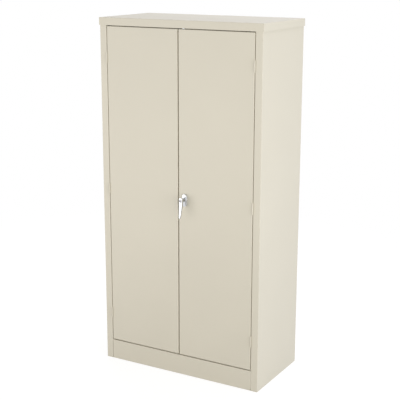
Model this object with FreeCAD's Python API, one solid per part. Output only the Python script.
import FreeCAD, Part
import math
import os

# A tall steel storage cabinet with two hinged doors, in millimetres.
# x runs to the right as seen from the front, and x = 0 is the middle of the width.
# y runs backwards from the face of the door frame, and z runs up from the floor.

# The whole cabinet
WIDTH = 914.4  # across the two side panels
DEPTH = 457.2  # from the frame's face to the back of the side panels
HEIGHT = 1828.8  # from the floor to the top of the cap
SHEET = 1.2  # steel sheet of the body and the doors
BEND = 1.2  # inside radius of a fold
OVERRUN = 5.0  # how far a cut runs past what it cuts
SAME_PLACE = 0.000001  # two levels nearer than this are one

# Cap, side panels and the rail behind the cap's front
CAP_OVERHANG = 4.5
CAP_SKIRT = 38.3
JAMB = 38.0
JAMB_RETURN = 20.0
REAR_RETURN = 18.0
END_FLANGE = 18.0
END_FLANGE_SETBACK = 24.0
HEADER_RISE = 31.5
STOP_DROP = 16.5
STOP_NOTCH_MARGIN = 5.0  # round the overlap strip and the upper rod

# Base: kick plate and fixed bottom shelf
KICK_HEIGHT = 105.0
KICK_FOOT = 18.0
KICK_SEAM = 2.0
SILL_RISE = 12.0
BOTTOM_SKIRT = 24.0

# Adjustable shelves
SHELF_COUNT = 4
SHELF_SHEET = 1.0
SHELF_SKIRT = 25.0
SHELF_LIP = 12.0
SHELF_FRONT_GAP = 8.0
SHELF_BACK_GAP = 5.0
SHELF_SIDE_GAP = 1.5

# Slotted standards on the side panels, and the clips that hang in them
STANDARD_WIDTH = 20.0
STANDARD_DEPTH = 6.0
STANDARD_INSET = 40.0
STANDARD_END_GAP = 12.0
SLOT_PITCH = 50.8
SLOT_HEIGHT = 4.0
SLOT_WIDTH = 9.0
CLIP_SHEET = 1.4
CLIP_WIDTH = 14.0
CLIP_TONGUE_WIDTH = 8.0
CLIP_TONGUE_REACH = 3.0
CLIP_LEDGE = 14.0
CLIP_DROP = 14.0

# Doors
HINGE_GAP = 3.0
SEAM_GAP = 5.6
TOP_GAP = 4.25
BOTTOM_GAP = 5.5
DOOR_DEPTH = 25.0
DOOR_LIP = 14.0
STOP_GAP = 1.8  # from the back of a closed door to its stop
STIFFENER_CROWN = 40.0
STIFFENER_FLANGE = 16.0
STIFFENER_DEPTH = 14.0
STIFFENER_END_GAP = 6.0
STRIP_HOLD = 12.0  # how far the overlap strip lies on the left door
STRIP_LAP = 10.0  # how far it reaches behind the right door
STRIP_JOG = 1.0
STRIP_END_GAP = 20.0
BUMPER_RADIUS = 4.5
BUMPER_THICKNESS = 1.5
BUMPER_INSET = 60.0  # from each upright edge of a door to its bumpers

# Hinges
HINGE_COUNT = 3
HINGE_INSET = 155.0  # from a door's end to the middle of its nearest hinge
HINGE_LENGTH = 57.0
KNUCKLES = 5
KNUCKLE_RADIUS = 3.8
KNUCKLE_SPACE = 0.3
LEAF_SHEET = 1.4
LEAF_DEPTH = 19.0
LEAF_CLEARANCE = 0.3
PIN_RADIUS = 2.0
PIN_CLEARANCE = 0.05
PIN_PROUD = 3.0  # from the frame's face forward to the pin's axis

# Handle base on the right door
HANDLE_INSET = 37.2  # from the door's free edge to the handle's axis
BASE_WIDTH = 26.0
BASE_HEIGHT = 66.0
BASE_DROP = 4.0  # from the handle's axis down to the base's middle
BASE_THICKNESS = 14.0
BASE_ROUNDING = 4.5
BASE_FLOOR = 4.0
JOURNAL_CLEARANCE = 0.06
SPINDLE_HOLE_RADIUS = 6.5
SKIN_HOLE_RADIUS = 7.0
BASE_SCREW_SPACING = 44.0
BASE_SCREW_RADIUS = 2.0
BASE_SCREW_DEPTH = 8.0
BASE_SCREW_CLEARANCE = 0.25
BASE_SCREW_HEAD_RADIUS = 4.0
BASE_SCREW_HEAD = 2.6

# Lever with its neck, spindle and lock cylinder
NECK_RADIUS = 8.0
NECK_END_GAP = 0.2
LEVER_REACH = 48.0  # from the door's face to the front of the lever's head
LEVER_TOP = 15.5
LEVER_DROP = 89.0
LEVER_WIDTH = 19.0
LEVER_THICKNESS = 13.0
LEVER_FLARE = 12.0  # how far the tip leans out, away from the door
LEVER_CORNER_SHARE = 0.24
SPINDLE_SIDE = 8.0
SPINDLE_SOCKET = 18.0
LOCK_RADIUS = 5.95
LOCK_CLEARANCE = 0.05
LOCK_DEPTH = 16.0
LOCK_END_GAP = 0.3
LOCK_RECESS = 0.4
KEYWAY_WIDTH = 1.4
KEYWAY_HEIGHT = 7.0
KEYWAY_DEPTH = 9.0

# Cam and the two locking rods
CAM_SETBACK = 8.0  # from the door's face to the cam
CAM_THICKNESS = 3.0
CAM_RADIUS = 18.0  # from the handle's axis to each cam pin
CAM_REST_ANGLE = 45.0
CAM_WIDTH = 16.0
CAM_PIN_RADIUS = 3.0
CAM_PIN_HEAD_RADIUS = 4.5
CAM_PIN_HEAD = 1.5
CAM_SCREW_RADIUS = 2.5
CAM_SCREW_DEPTH = 10.0
CAM_SCREW_HEAD_RADIUS = 4.75
CAM_SCREW_HEAD = 3.0
ROD_WIDTH = 9.5
ROD_THICKNESS = 4.8
ROD_SPACE = 0.5  # between the cam, a rod and the pin's head
ROD_REACH = 14.3  # past the strike plate that a rod locks into
ROD_TIP_CHAMFER = 2.0
SLOT_PLAY_ACROSS = 0.6
SLOT_PLAY_ALONG = 0.7
FOOT_SIDE_WALL = 3.0
FOOT_END_WALL = 4.0
ROD_CLEARANCE = 0.5
STRIKE_CLEARANCE = 1.5
WINDOW_LENGTH = 47.0  # of the window in the right door's top fold, round the upper rod
GUIDE_SHEET = 1.5
GUIDE_WIDTH = 22.0
GUIDE_HEIGHT = 20.0
GUIDE_RIM = 3.0  # of the bracket past the rod's hole
GUIDE_SETOUT_SHARES = (0.2, 0.75)  # of the way from the handle to the door's end

# Places that follow from the sizes above
SIDE = WIDTH / 2
OPENING_SIDE = SIDE - JAMB
CAP_UNDERSIDE = HEIGHT - SHEET
OPENING_TOP = HEIGHT - CAP_SKIRT
DOOR_TOP = OPENING_TOP - TOP_GAP
DOOR_BOTTOM = KICK_HEIGHT + BOTTOM_GAP
DOOR_MIDDLE = (DOOR_TOP + DOOR_BOTTOM) / 2
DOOR_FREE_EDGE = SEAM_GAP / 2
DOOR_HINGE_EDGE = OPENING_SIDE - HINGE_GAP
STOP_FACE = DOOR_DEPTH + STOP_GAP
SILL_TOP = KICK_HEIGHT + SILL_RISE
BACK_FACE = DEPTH - SHEET
BACK_INSIDE = BACK_FACE - SHEET
SIDE_INSIDE = SIDE - SHEET
STANDARD_FACE = SIDE_INSIDE - STANDARD_DEPTH
STANDARD_BOTTOM = SILL_TOP + STANDARD_END_GAP
STANDARD_TOP = OPENING_TOP - STOP_DROP - STANDARD_END_GAP
SLOT_COUNT = int((STANDARD_TOP - STANDARD_BOTTOM - SLOT_PITCH) / SLOT_PITCH) + 1
HINGE_X = OPENING_SIDE - HINGE_GAP / 2
HANDLE_X = DOOR_FREE_EDGE + HANDLE_INSET
HANDLE_Z = DOOR_MIDDLE
BASE_Z = HANDLE_Z - BASE_DROP
LEVER_MIDDLE_Y = LEVER_THICKNESS / 2 - LEVER_REACH
CAM_BACK = CAM_SETBACK + CAM_THICKNESS
ROD_FRONT = CAM_BACK + ROD_SPACE
ROD_BACK = ROD_FRONT + ROD_THICKNESS
CAM_PIN_RISE = CAM_RADIUS * math.sin(math.radians(CAM_REST_ANGLE))
CAM_PIN_NEAR = CAM_RADIUS * math.cos(math.radians(CAM_REST_ANGLE))
ROD_OFFSET = (CAM_RADIUS + CAM_PIN_NEAR) / 2
ROD_SLOT_LENGTH = CAM_RADIUS - CAM_PIN_NEAR + 2 * (CAM_PIN_RADIUS + SLOT_PLAY_ACROSS)
ROD_SLOT_HEIGHT = 2 * (CAM_PIN_RADIUS + SLOT_PLAY_ALONG)

# Each row of the lever's shape, from its top to its tip: its level as a share of
# the top's rise or of the drop, then its width, thickness and lean as shares.
LEVER_SHARES = (
    (1.00, 0.60, 0.62, 0.00),
    (0.86, 0.86, 0.88, 0.00),
    (0.55, 0.98, 0.99, 0.00),
    (0.10, 1.00, 1.00, 0.00),
    (-0.12, 0.98, 1.00, 0.01),
    (-0.30, 0.88, 0.96, 0.10),
    (-0.50, 0.73, 0.91, 0.32),
    (-0.72, 0.56, 0.85, 0.63),
    (-0.90, 0.43, 0.78, 0.89),
    (-1.00, 0.28, 0.48, 1.00),
)


def vector(x, y, z):
    return FreeCAD.Vector(x, y, z)


def block(x, y, z):
    """A box between the low and high value of each pair."""
    size = [high - low for low, high in (x, y, z)]
    return Part.makeBox(*size, vector(x[0], y[0], z[0]))


def about(middle, width):
    """The low and high value of a width round its middle."""
    return (middle - width / 2, middle + width / 2)


def rod_along_y(radius, x, z, y):
    """A cylinder along y between the pair of values y."""
    return Part.makeCylinder(radius, y[1] - y[0], vector(x, y[0], z), vector(0, 1, 0))


def rod_along_z(radius, x, y, z):
    """A cylinder along z between the pair of values z."""
    return Part.makeCylinder(radius, z[1] - z[0], vector(x, y, z[0]), vector(0, 0, 1))


def mirrored(shape):
    """The same piece on the other side of the cabinet."""
    return shape.mirror(vector(0, 0, 0), vector(1, 0, 0))


def joined(shapes):
    """One solid out of several that meet."""
    return shapes[0].multiFuse(shapes[1:]).removeSplitter()


def edges_round(shape, axis, level):
    """The edges of a box that lie in the plane where one coordinate has a given level."""
    found = []
    for edge in shape.Edges:
        ends = [getattr(vertex, axis.upper()) for vertex in edge.Vertexes]
        if all(abs(end - level) < SAME_PLACE for end in ends):
            found.append(edge)
    return found


def edges_along_y(edges):
    """Those of the edges that run along y."""
    return [edge for edge in edges if abs(edge.tangentAt(edge.FirstParameter).y) > 1 / 2]


def rounded_block(x, y, z, radius, rims):
    """A box with the edges round some of its sides rounded. Each rim is an axis and a level."""
    shape = block(x, y, z)
    edges = []
    for axis, level in rims:
        edges += edges_round(shape, axis, level)
    return shape.makeFillet(radius, edges)


def shrunk(pair, margin):
    """A pair of values with each end moved inwards."""
    return (pair[0] + margin, pair[1] - margin)


def pan_open_below(x, y, z, sheet, lip):
    """A sheet pan with its face on top and its skirts down. A lip turns inwards below."""
    outer_rims = [("z", z[1])]
    inner_low = z[0] - OVERRUN
    if lip:
        outer_rims.append(("z", z[0]))
        inner_low = z[0] + sheet
    outer = rounded_block(x, y, z, BEND + sheet, outer_rims)
    inner_z = (inner_low, z[1] - sheet)
    inner_rims = [("z", level) for level in inner_z[0 if lip else 1:]]
    inner = rounded_block(shrunk(x, sheet), shrunk(y, sheet), inner_z, BEND, inner_rims)
    pan = outer.cut(inner)
    if lip:
        mouth = (z[0] - OVERRUN, z[0] + sheet + BEND)
        pan = pan.cut(block(shrunk(x, lip), shrunk(y, lip), mouth))
    return pan


def door_pan():
    """The right door: a face with its edges folded back, and a lip behind on all four."""
    x = (DOOR_FREE_EDGE, DOOR_HINGE_EDGE)
    y = (0, DOOR_DEPTH)
    z = (DOOR_BOTTOM, DOOR_TOP)
    outer = rounded_block(x, y, z, BEND + SHEET, [("y", level) for level in y])
    inner_y = shrunk(y, SHEET)
    inner = rounded_block(
        shrunk(x, SHEET), inner_y, shrunk(z, SHEET), BEND, [("y", level) for level in inner_y]
    )
    mouth = (DOOR_DEPTH - SHEET - BEND, DOOR_DEPTH + OVERRUN)
    return outer.cut(inner).cut(block(shrunk(x, DOOR_LIP), mouth, shrunk(z, DOOR_LIP)))


def unit(a, b):
    """The direction from one flat point to another."""
    length = math.dist(a, b)
    return ((b[0] - a[0]) / length, (b[1] - a[1]) / length)


def offset_corner(before, corner, after, distance):
    """Where a corner of a path goes when the path moves to its left by a distance."""
    one = unit(before, corner)
    two = unit(corner, after)
    turn = one[0] * two[1] - one[1] * two[0]
    along = distance * (1 - one[0] * two[0] - one[1] * two[1]) / turn
    return (
        corner[0] - one[1] * distance - one[0] * along,
        corner[1] + one[0] * distance - one[1] * along,
    )


def folded_edge(points, radii, place):
    """The edges along a path of flat points, with an arc of the given radius at each corner."""
    edges = []
    start = points[0]
    for before, corner, after, radius in zip(points, points[1:], points[2:], radii):
        one = unit(before, corner)
        two = unit(corner, after)
        turn = math.acos(one[0] * two[0] + one[1] * two[1])
        back = radius * math.tan(turn / 2)
        into = (corner[0] - one[0] * back, corner[1] - one[1] * back)
        out = (corner[0] + two[0] * back, corner[1] + two[1] * back)
        half = unit((0, 0), (two[0] - one[0], two[1] - one[1]))
        reach = radius / math.cos(turn / 2) - radius
        middle = (corner[0] + half[0] * reach, corner[1] + half[1] * reach)
        edges.append(Part.makeLine(place(start), place(into)))
        edges.append(Part.Arc(place(into), place(middle), place(out)).toShape())
        start = out
    edges.append(Part.makeLine(place(start), place(points[-1])))
    return edges


def folded_sheet(path, sheet, place, travel):
    """A folded sheet: a path of flat points, its thickness to the left, pushed along a travel."""
    other = [0] * len(path)
    near_radii = []
    far_radii = []
    for n in range(1, len(path) - 1):
        one = unit(path[n - 1], path[n])
        two = unit(path[n], path[n + 1])
        left = one[0] * two[1] - one[1] * two[0] > 0
        near_radii.append(BEND + sheet if left else BEND)
        far_radii.append(BEND if left else BEND + sheet)
        other[n] = offset_corner(path[n - 1], path[n], path[n + 1], sheet)
    first = unit(path[0], path[1])
    last = unit(path[-2], path[-1])
    other[0] = (path[0][0] - first[1] * sheet, path[0][1] + first[0] * sheet)
    other[-1] = (path[-1][0] - last[1] * sheet, path[-1][1] + last[0] * sheet)
    near = folded_edge(path, near_radii, place)
    far = folded_edge(other, far_radii, place)
    start = Part.makeLine(place(other[0]), place(path[0]))
    end = Part.makeLine(place(path[-1]), place(other[-1]))
    return Part.Face(Part.Wire(near + [end] + far[::-1] + [start])).extrude(travel)


def upright_sheet(path, sheet, z):
    """A folded sheet whose section, in x and y, stands along z."""
    return folded_sheet(path, sheet, lambda p: vector(p[0], p[1], z[0]), vector(0, 0, z[1] - z[0]))


def level_sheet(path, sheet, x):
    """A folded sheet whose section, in y and z, lies along x."""
    return folded_sheet(path, sheet, lambda p: vector(x[0], p[0], p[1]), vector(x[1] - x[0], 0, 0))


def obround(x, z, length, height, y):
    """A bar along y whose section, in x and z, has straight long sides and round ends."""
    radius = min(length, height) / 2
    if length > height:
        half = (length / 2 - radius, 0)
        core = block(about(x, length - height), y, about(z, height))
    else:
        half = (0, height / 2 - radius)
        core = block(about(x, length), y, about(z, height - length))
    ends = [
        rod_along_y(radius, x + sign * half[0], z + sign * half[1], y) for sign in (-1, 1)
    ]
    return joined([core] + ends)


def turned(shape, degrees):
    """The shape turned about the handle's axis. A positive turn lifts the side with more x."""
    shape = shape.copy()
    shape.rotate(vector(HANDLE_X, 0, HANDLE_Z), vector(0, -1, 0), degrees)
    return shape


def top_cap():
    x = about(0, WIDTH + 2 * CAP_OVERHANG)
    y = (-SHEET, DEPTH + SHEET)
    return pan_open_below(x, y, (OPENING_TOP, HEIGHT), SHEET, 0)


def side_panel():
    """The right side: jamb with its return, outer wall, rear return, and flanges at both ends.

    Its front and rear walls stop short of the bend inside the cap.
    """
    path = [
        (OPENING_SIDE, JAMB_RETURN),
        (OPENING_SIDE, 0),
        (SIDE, 0),
        (SIDE, DEPTH),
        (SIDE - REAR_RETURN, DEPTH),
    ]
    panel = upright_sheet(path, SHEET, (0, CAP_UNDERSIDE))
    x = (SIDE_INSIDE - END_FLANGE, SIDE_INSIDE)
    y = (END_FLANGE_SETBACK, DEPTH - END_FLANGE_SETBACK)
    foot = block(x, y, (0, SHEET))
    head = block(x, y, (CAP_UNDERSIDE - SHEET, CAP_UNDERSIDE))
    across = (OPENING_SIDE - OVERRUN, SIDE + OVERRUN)
    under_bend = (CAP_UNDERSIDE - BEND, CAP_UNDERSIDE + OVERRUN)
    notches = [
        block(across, (-OVERRUN, BEND), under_bend),
        block(across, (DEPTH - BEND, DEPTH + OVERRUN), under_bend),
    ]
    return joined([panel, foot, head]).cut(notches)


def back_panel():
    """The back, which lies on the rear returns between the side panels' folds."""
    x = about(0, 2 * (SIDE_INSIDE - BEND))
    return block(x, (BACK_INSIDE, BACK_FACE), (0, CAP_UNDERSIDE))


def rod_opening(side, clearance, z):
    """The hole that a locking rod passes through: the upper rod is at side -1, the lower at 1."""
    x = about(HANDLE_X + side * ROD_OFFSET, ROD_WIDTH + 2 * clearance)
    return block(x, (ROD_FRONT - clearance, ROD_BACK + clearance), z)


def header_rail():
    """The rail over the doors: an upright flange, a web that the upper rod locks into, a stop.

    The stop has a notch that clears the overlap strip and the upper rod.
    """
    path = [
        (0, OPENING_TOP + HEADER_RISE),
        (0, OPENING_TOP),
        (STOP_FACE, OPENING_TOP),
        (STOP_FACE, OPENING_TOP - STOP_DROP),
    ]
    rail = level_sheet(path, SHEET, about(0, 2 * OPENING_SIDE))
    cut = (OPENING_TOP - OVERRUN, OPENING_TOP + SHEET + OVERRUN)
    strip_side = -DOOR_FREE_EDGE - STRIP_HOLD
    rod_side = HANDLE_X - ROD_OFFSET + ROD_WIDTH / 2
    notch = block(
        shrunk((strip_side, rod_side), -STOP_NOTCH_MARGIN),
        (STOP_FACE - OVERRUN, STOP_FACE + SHEET + OVERRUN),
        (OPENING_TOP - STOP_DROP - OVERRUN, OPENING_TOP - BEND),
    )
    return rail.cut([rod_opening(-1, STRIKE_CLEARANCE, cut), notch])


def kick_plate():
    """The plate below the doors: a foot on the floor, the face, a ledge with the lower strike."""
    path = [(STOP_FACE, KICK_HEIGHT), (0, KICK_HEIGHT), (0, 0), (KICK_FOOT, 0)]
    plate = level_sheet(path, SHEET, about(0, 2 * (OPENING_SIDE - KICK_SEAM)))
    cut = (KICK_HEIGHT - SHEET - OVERRUN, KICK_HEIGHT + OVERRUN)
    return plate.cut(rod_opening(1, STRIKE_CLEARANCE, cut))


def bottom_shelf():
    z = (SILL_TOP - BOTTOM_SKIRT, SILL_TOP)
    return pan_open_below(about(0, 2 * SIDE_INSIDE), (STOP_FACE, BACK_INSIDE), z, SHEET, 0)


def shelf_span():
    """From front to back of an adjustable shelf."""
    return (STOP_FACE + SHEET + SHELF_FRONT_GAP, BACK_INSIDE - SHELF_BACK_GAP)


def slot_level(number):
    return STANDARD_BOTTOM + SLOT_PITCH * (number + 1 / 2)


def shelf_slot(number):
    """The number of the slot that holds shelf 1, 2 and so on, counted from the bottom."""
    return round(number * SLOT_COUNT / (SHELF_COUNT + 1)) - 1


def shelf_underside(number):
    return slot_level(shelf_slot(number)) + CLIP_SHEET / 2


def shelf(number):
    low = shelf_underside(number)
    x = about(0, 2 * (STANDARD_FACE - SHELF_SIDE_GAP))
    return pan_open_below(x, shelf_span(), (low, low + SHELF_SKIRT), SHELF_SHEET, SHELF_LIP)


def standard_places():
    """The y of the middle of the front and of the rear standards."""
    front, back = shelf_span()
    return (front + STANDARD_INSET, back - STANDARD_INSET)


def shelf_standard(y):
    """A channel on the right side panel, open to the panel, with a slot for a clip at each step."""
    low, high = about(y, STANDARD_WIDTH)
    path = [(SIDE_INSIDE, low), (STANDARD_FACE, low), (STANDARD_FACE, high), (SIDE_INSIDE, high)]
    channel = upright_sheet(path[::-1], SHEET, (STANDARD_BOTTOM, STANDARD_TOP))
    x = (STANDARD_FACE - OVERRUN, STANDARD_FACE + SHEET + BEND)
    slots = [
        block(x, about(y, SLOT_WIDTH), about(slot_level(n), SLOT_HEIGHT)) for n in range(SLOT_COUNT)
    ]
    return channel.cut(slots)


def shelf_clip(number, y):
    """A clip on a right standard: a plate below, a ledge under the shelf, a tongue in the slot."""
    z = about(slot_level(shelf_slot(number)), CLIP_SHEET)
    across = about(y, CLIP_WIDTH)
    ledge = block((STANDARD_FACE - CLIP_LEDGE, STANDARD_FACE), across, z)
    plate = block((STANDARD_FACE - CLIP_SHEET, STANDARD_FACE), across, (z[1] - CLIP_DROP, z[1]))
    reach = (STANDARD_FACE - CLIP_SHEET, STANDARD_FACE + CLIP_TONGUE_REACH)
    tongue = block(reach, about(y, CLIP_TONGUE_WIDTH), z)
    return joined([ledge, plate, tongue])


def shelf_clips():
    clips = []
    for number in range(1, SHELF_COUNT + 1):
        for y in standard_places():
            clip = shelf_clip(number, y)
            clips += [clip, mirrored(clip)]
    return clips


def door_bumpers():
    """Rubber pads on the stops over and under the doors."""
    y = (STOP_FACE - BUMPER_THICKNESS, STOP_FACE)
    levels = (OPENING_TOP - STOP_DROP / 2, (KICK_HEIGHT + SILL_TOP) / 2)
    pads = []
    for z in levels:
        for x in (DOOR_FREE_EDGE + BUMPER_INSET, DOOR_HINGE_EDGE - BUMPER_INSET):
            pad = rod_along_y(BUMPER_RADIUS, x, z, y)
            pads += [pad, mirrored(pad)]
    return pads


def right_door_panel():
    """The right door with its handle holes, a window over the upper rod, a hole for the lower."""
    door = door_pan()
    skin = (-OVERRUN, SHEET + OVERRUN)
    window_start = DOOR_FREE_EDGE + SHEET + BEND
    window = block(
        (window_start, window_start + WINDOW_LENGTH),
        shrunk((0, DOOR_DEPTH), SHEET + BEND),
        (DOOR_TOP - SHEET - OVERRUN, DOOR_TOP + OVERRUN),
    )
    cuts = [
        window,
        rod_along_y(SKIN_HOLE_RADIUS, HANDLE_X, HANDLE_Z, skin),
        rod_opening(1, ROD_CLEARANCE, (DOOR_BOTTOM - OVERRUN, DOOR_BOTTOM + SHEET + OVERRUN)),
    ]
    for z in about(BASE_Z, BASE_SCREW_SPACING):
        cuts.append(rod_along_y(BASE_SCREW_RADIUS + BASE_SCREW_CLEARANCE, HANDLE_X, z, skin))
    return door.cut(cuts)


def door_stiffener():
    """A hat-shaped channel down the middle of the right door, on the inside of its face."""
    middle = (DOOR_FREE_EDGE + DOOR_HINGE_EDGE) / 2
    crown = STIFFENER_CROWN / 2
    foot = crown + STIFFENER_FLANGE
    deep = SHEET + STIFFENER_DEPTH
    path = [
        (middle - foot, SHEET),
        (middle - crown, SHEET),
        (middle - crown, deep - SHEET),
        (middle + crown, deep - SHEET),
        (middle + crown, SHEET),
        (middle + foot, SHEET),
    ]
    z = shrunk((DOOR_BOTTOM, DOOR_TOP), SHEET + STIFFENER_END_GAP)
    return upright_sheet(path, SHEET, z)


def overlap_strip():
    """The strip on the left door's free edge, which stands behind the right door's edge."""
    path = [
        (-DOOR_FREE_EDGE - STRIP_HOLD, DOOR_DEPTH),
        (-DOOR_FREE_EDGE, DOOR_DEPTH),
        (DOOR_FREE_EDGE, DOOR_DEPTH + STRIP_JOG),
        (DOOR_FREE_EDGE + STRIP_LAP, DOOR_DEPTH + STRIP_JOG),
    ]
    return upright_sheet(path, SHEET, shrunk((DOOR_BOTTOM, DOOR_TOP), STRIP_END_GAP))


def hinge_levels():
    """The z of the middle of each hinge, from the lowest up."""
    low, high = shrunk((DOOR_BOTTOM, DOOR_TOP), HINGE_INSET)
    return [low + (high - low) * n / (HINGE_COUNT - 1) for n in range(HINGE_COUNT)]


def hinge_leaf(level, first, x):
    """A right hinge's leaf between the two values of x. It has every second knuckle from first."""
    bottom = level - HINGE_LENGTH / 2
    pitch = HINGE_LENGTH / KNUCKLES
    plate_y = (PIN_RADIUS + PIN_CLEARANCE - PIN_PROUD, LEAF_DEPTH)
    pieces = [block(x, plate_y, about(level, HINGE_LENGTH))]
    gaps = []
    for n in range(KNUCKLES):
        z = (bottom + n * pitch, bottom + (n + 1) * pitch)
        if n % 2 == first:
            barrel = rod_along_z(KNUCKLE_RADIUS, HINGE_X, -PIN_PROUD, shrunk(z, KNUCKLE_SPACE / 2))
            pieces.append(barrel)
        else:
            around = shrunk(z, -KNUCKLE_SPACE / 2)
            reach = KNUCKLE_RADIUS + LEAF_CLEARANCE
            gaps.append(rod_along_z(reach, HINGE_X, -PIN_PROUD, around))
    bore = (bottom - OVERRUN, bottom + HINGE_LENGTH + OVERRUN)
    gaps.append(rod_along_z(PIN_RADIUS + PIN_CLEARANCE, HINGE_X, -PIN_PROUD, bore))
    pieces[0] = pieces[0].cut(gaps)
    return joined(pieces).cut(gaps[-1])


def door_leaves():
    x = (DOOR_HINGE_EDGE, DOOR_HINGE_EDGE + LEAF_SHEET)
    return [hinge_leaf(level, 1, x) for level in hinge_levels()]


def frame_leaves():
    x = (OPENING_SIDE - LEAF_SHEET, OPENING_SIDE)
    return [hinge_leaf(level, 0, x) for level in hinge_levels()]


def hinge_pins():
    return [
        rod_along_z(PIN_RADIUS, HINGE_X, -PIN_PROUD, about(level, HINGE_LENGTH))
        for level in hinge_levels()
    ]


def handle_base():
    """The domed plate that carries the lever, with its bore, spindle hole and screw holes."""
    y = (-BASE_THICKNESS, 0)
    base = obround(HANDLE_X, BASE_Z, BASE_WIDTH, BASE_HEIGHT, y)
    base = base.makeFillet(BASE_ROUNDING, edges_round(base, "y", -BASE_THICKNESS))
    bore = (-BASE_THICKNESS - OVERRUN, -BASE_FLOOR)
    cuts = [
        rod_along_y(NECK_RADIUS + JOURNAL_CLEARANCE, HANDLE_X, HANDLE_Z, bore),
        rod_along_y(SPINDLE_HOLE_RADIUS, HANDLE_X, HANDLE_Z, (-BASE_THICKNESS, OVERRUN)),
    ]
    for z in about(BASE_Z, BASE_SCREW_SPACING):
        cuts.append(rod_along_y(BASE_SCREW_RADIUS, HANDLE_X, z, (-BASE_SCREW_DEPTH, OVERRUN)))
    return base.cut(cuts)


def base_screws():
    """Two screws that hold the handle's base from inside the door."""
    screws = []
    for z in about(BASE_Z, BASE_SCREW_SPACING):
        shank = rod_along_y(BASE_SCREW_RADIUS, HANDLE_X, z, (-BASE_SCREW_DEPTH, SHEET))
        head = (SHEET, SHEET + BASE_SCREW_HEAD)
        screws.append(joined([shank, rod_along_y(BASE_SCREW_HEAD_RADIUS, HANDLE_X, z, head)]))
    return screws


def lever_section(level, width, thickness, lean):
    """One level section through the lever: a rectangle with round corners."""
    x = about(HANDLE_X, width)
    y = about(LEVER_MIDDLE_Y - lean, thickness)
    radius = LEVER_CORNER_SHARE * min(width, thickness)
    slope = radius * (1 - math.sqrt(1 / 2))
    edges = []
    ring = [(x[0], y[0]), (x[1], y[0]), (x[1], y[1]), (x[0], y[1])]
    for n, corner in enumerate(ring):
        one = unit(ring[n - 1], corner)
        two = unit(corner, ring[(n + 1) % len(ring)])
        into = vector(corner[0] - one[0] * radius, corner[1] - one[1] * radius, level)
        out = vector(corner[0] + two[0] * radius, corner[1] + two[1] * radius, level)
        inward = (two[0] - one[0], two[1] - one[1])
        middle = vector(corner[0] + inward[0] * slope, corner[1] + inward[1] * slope, level)
        if edges:
            edges.append(Part.makeLine(last, into))
        else:
            first = into
        edges.append(Part.Arc(into, middle, out).toShape())
        last = out
    edges.append(Part.makeLine(last, first))
    return Part.Wire(edges)


def lever_handle():
    """The lever: a tapered arm and head, the neck that turns in the base, and its two bores."""
    sections = []
    for level, width, thickness, lean in LEVER_SHARES:
        z = HANDLE_Z + level * (LEVER_TOP if level > 0 else LEVER_DROP)
        sections.append(
            lever_section(z, width * LEVER_WIDTH, thickness * LEVER_THICKNESS, lean * LEVER_FLARE)
        )
    arm = Part.makeLoft(sections, True, False)
    neck = (LEVER_MIDDLE_Y, -BASE_FLOOR - NECK_END_GAP)
    lever = joined([arm, rod_along_y(NECK_RADIUS, HANDLE_X, HANDLE_Z, neck)])
    lock = (-LEVER_REACH - OVERRUN, LOCK_RECESS + LOCK_DEPTH + LOCK_END_GAP - LEVER_REACH)
    lock_bore = rod_along_y(LOCK_RADIUS + LOCK_CLEARANCE, HANDLE_X, HANDLE_Z, lock)
    side = about(HANDLE_X, SPINDLE_SIDE)
    socket = block(side, (-BASE_FLOOR - SPINDLE_SOCKET, 0), about(HANDLE_Z, SPINDLE_SIDE))
    return lever.cut([lock_bore, socket])


def lever_spindle():
    """The square bar from the lever's neck to the cam, with a screw hole in its end."""
    y = (-BASE_FLOOR - SPINDLE_SOCKET, CAM_BACK)
    bar = block(about(HANDLE_X, SPINDLE_SIDE), y, about(HANDLE_Z, SPINDLE_SIDE))
    hole = (CAM_BACK - CAM_SCREW_DEPTH, CAM_BACK + OVERRUN)
    return bar.cut(rod_along_y(CAM_SCREW_RADIUS, HANDLE_X, HANDLE_Z, hole))


def cam_plate():
    """The bar on the spindle's end that drives the two rods, at rest with its right end low."""
    y = (CAM_SETBACK, CAM_BACK)
    cam = obround(HANDLE_X, HANDLE_Z, 2 * CAM_RADIUS + CAM_WIDTH, CAM_WIDTH, y)
    cut = (CAM_SETBACK - OVERRUN, CAM_BACK + OVERRUN)
    for side in (-1, 1):
        cam = cam.cut(rod_along_y(CAM_PIN_RADIUS, HANDLE_X + side * CAM_RADIUS, HANDLE_Z, cut))
    cam = turned(cam, -CAM_REST_ANGLE)
    return cam.cut(block(about(HANDLE_X, SPINDLE_SIDE), cut, about(HANDLE_Z, SPINDLE_SIDE)))


def cam_pins():
    """The two headed pins in the cam that run in the rods' slots."""
    pins = []
    shank_end = ROD_BACK + ROD_SPACE
    for side in (-1, 1):
        x = HANDLE_X + side * CAM_RADIUS
        shank = rod_along_y(CAM_PIN_RADIUS, x, HANDLE_Z, (CAM_SETBACK, shank_end))
        head = (shank_end, shank_end + CAM_PIN_HEAD)
        pin = joined([shank, rod_along_y(CAM_PIN_HEAD_RADIUS, x, HANDLE_Z, head)])
        pins.append(turned(pin, -CAM_REST_ANGLE))
    return pins


def cam_screw():
    shank = (CAM_BACK - CAM_SCREW_DEPTH, CAM_BACK)
    head = (CAM_BACK, CAM_BACK + CAM_SCREW_HEAD)
    return joined([
        rod_along_y(CAM_SCREW_RADIUS, HANDLE_X, HANDLE_Z, shank),
        rod_along_y(CAM_SCREW_HEAD_RADIUS, HANDLE_X, HANDLE_Z, head),
    ])


def lock_cylinder():
    """The round plug in the lever's head, with an upright keyway."""
    front = LOCK_RECESS - LEVER_REACH
    plug = rod_along_y(LOCK_RADIUS, HANDLE_X, HANDLE_Z, (front, front + LOCK_DEPTH))
    keyway = (front - OVERRUN, front + KEYWAY_DEPTH)
    return plug.cut(block(about(HANDLE_X, KEYWAY_WIDTH), keyway, about(HANDLE_Z, KEYWAY_HEIGHT)))


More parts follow.
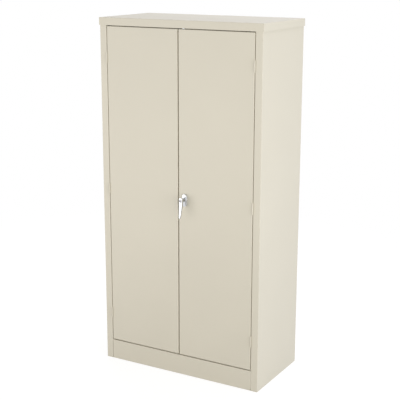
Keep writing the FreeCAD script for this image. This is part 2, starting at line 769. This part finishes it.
def locking_rod(side, tip):
    """A flat rod from the cam to its tip: side -1 is the upper rod, side 1 the lower one."""
    x = HANDLE_X + side * ROD_OFFSET
    pin = HANDLE_Z - side * CAM_PIN_RISE
    y = (ROD_FRONT, ROD_BACK)
    bar = block(about(x, ROD_WIDTH), y, (min(pin, tip), max(pin, tip)))
    end = edges_round(bar, "z", tip)
    bar = bar.makeChamfer(ROD_TIP_CHAMFER, edges_along_y(end))
    foot = block(
        about(x, ROD_SLOT_LENGTH + 2 * FOOT_SIDE_WALL),
        y,
        about(pin, ROD_SLOT_HEIGHT + 2 * FOOT_END_WALL),
    )
    slot = obround(x, pin, ROD_SLOT_LENGTH, ROD_SLOT_HEIGHT, (y[0] - OVERRUN, y[1] + OVERRUN))
    return joined([bar, foot]).cut(slot)


def rod_guides(side):
    """Angle brackets on the inside of the right door, each with a hole that a rod runs in."""
    x = HANDLE_X + side * ROD_OFFSET
    end = DOOR_TOP if side < 0 else DOOR_BOTTOM
    guides = []
    for share in GUIDE_SETOUT_SHARES:
        z = HANDLE_Z + share * (end - HANDLE_Z)
        foot = block(about(x, GUIDE_WIDTH), (SHEET, SHEET + GUIDE_SHEET), (z, z + GUIDE_HEIGHT))
        arm_end = ROD_BACK + ROD_CLEARANCE + GUIDE_RIM
        arm = block(about(x, GUIDE_WIDTH), (SHEET, arm_end), (z, z + GUIDE_SHEET))
        hole = rod_opening(side, ROD_CLEARANCE, (z - OVERRUN, z + GUIDE_SHEET + OVERRUN))
        guides.append(joined([foot, arm]).cut(hole))
    return guides


def save(node, shape):
    """Write one sub-part. A list is a group of separate solids."""
    if isinstance(shape, list):
        shape = Part.makeCompound(shape)
    shape.exportStep(f"parts/{node}.step")
    print(node, len(shape.Solids), round(shape.Volume), shape.isValid())


def main():
    os.makedirs("parts", exist_ok=True)
    panel = side_panel()
    save("top_cap", top_cap())
    save("left_side_panel", mirrored(panel))
    save("right_side_panel", panel)
    save("back_panel", back_panel())
    save("header_rail", header_rail())
    save("kick_plate", kick_plate())
    save("bottom_shelf", bottom_shelf())
    for number in range(1, SHELF_COUNT + 1):
        save(f"shelf_{number}", shelf(number))
    for place, y in zip(("front", "rear"), standard_places()):
        standard = shelf_standard(y)
        save(f"left_{place}_standard", mirrored(standard))
        save(f"right_{place}_standard", standard)
    save("shelf_clips", shelf_clips())
    save("door_bumpers", door_bumpers())

    for name, pieces in (
        ("frame_hinge_leaves", frame_leaves()),
        ("hinge_pins", hinge_pins()),
        ("door_hinge_leaves", door_leaves()),
    ):
        save(f"right_{name}", pieces)
        save(f"left_{name}", [mirrored(piece) for piece in pieces])

    stiffener = door_stiffener()
    save("left_door_panel", mirrored(door_pan()))
    save("left_door_stiffener", mirrored(stiffener))
    save("overlap_strip", overlap_strip())
    save("right_door_panel", right_door_panel())
    save("right_door_stiffener", stiffener)

    save("handle_base", handle_base())
    save("base_screws", base_screws())
    save("lever_handle", lever_handle())
    save("lever_spindle", lever_spindle())
    save("lock_cylinder", lock_cylinder())
    save("cam_plate", cam_plate())
    save("cam_pins", cam_pins())
    save("cam_screw", cam_screw())
    save("upper_locking_rod", locking_rod(-1, OPENING_TOP + SHEET + ROD_REACH))
    save("lower_locking_rod", locking_rod(1, KICK_HEIGHT - SHEET - ROD_REACH))
    save("upper_rod_guides", rod_guides(-1))
    save("lower_rod_guides", rod_guides(1))
    travel = 2 * CAM_PIN_RISE
    print("rod travel over a quarter turn of the lever, mm", round(travel, 4))


main()
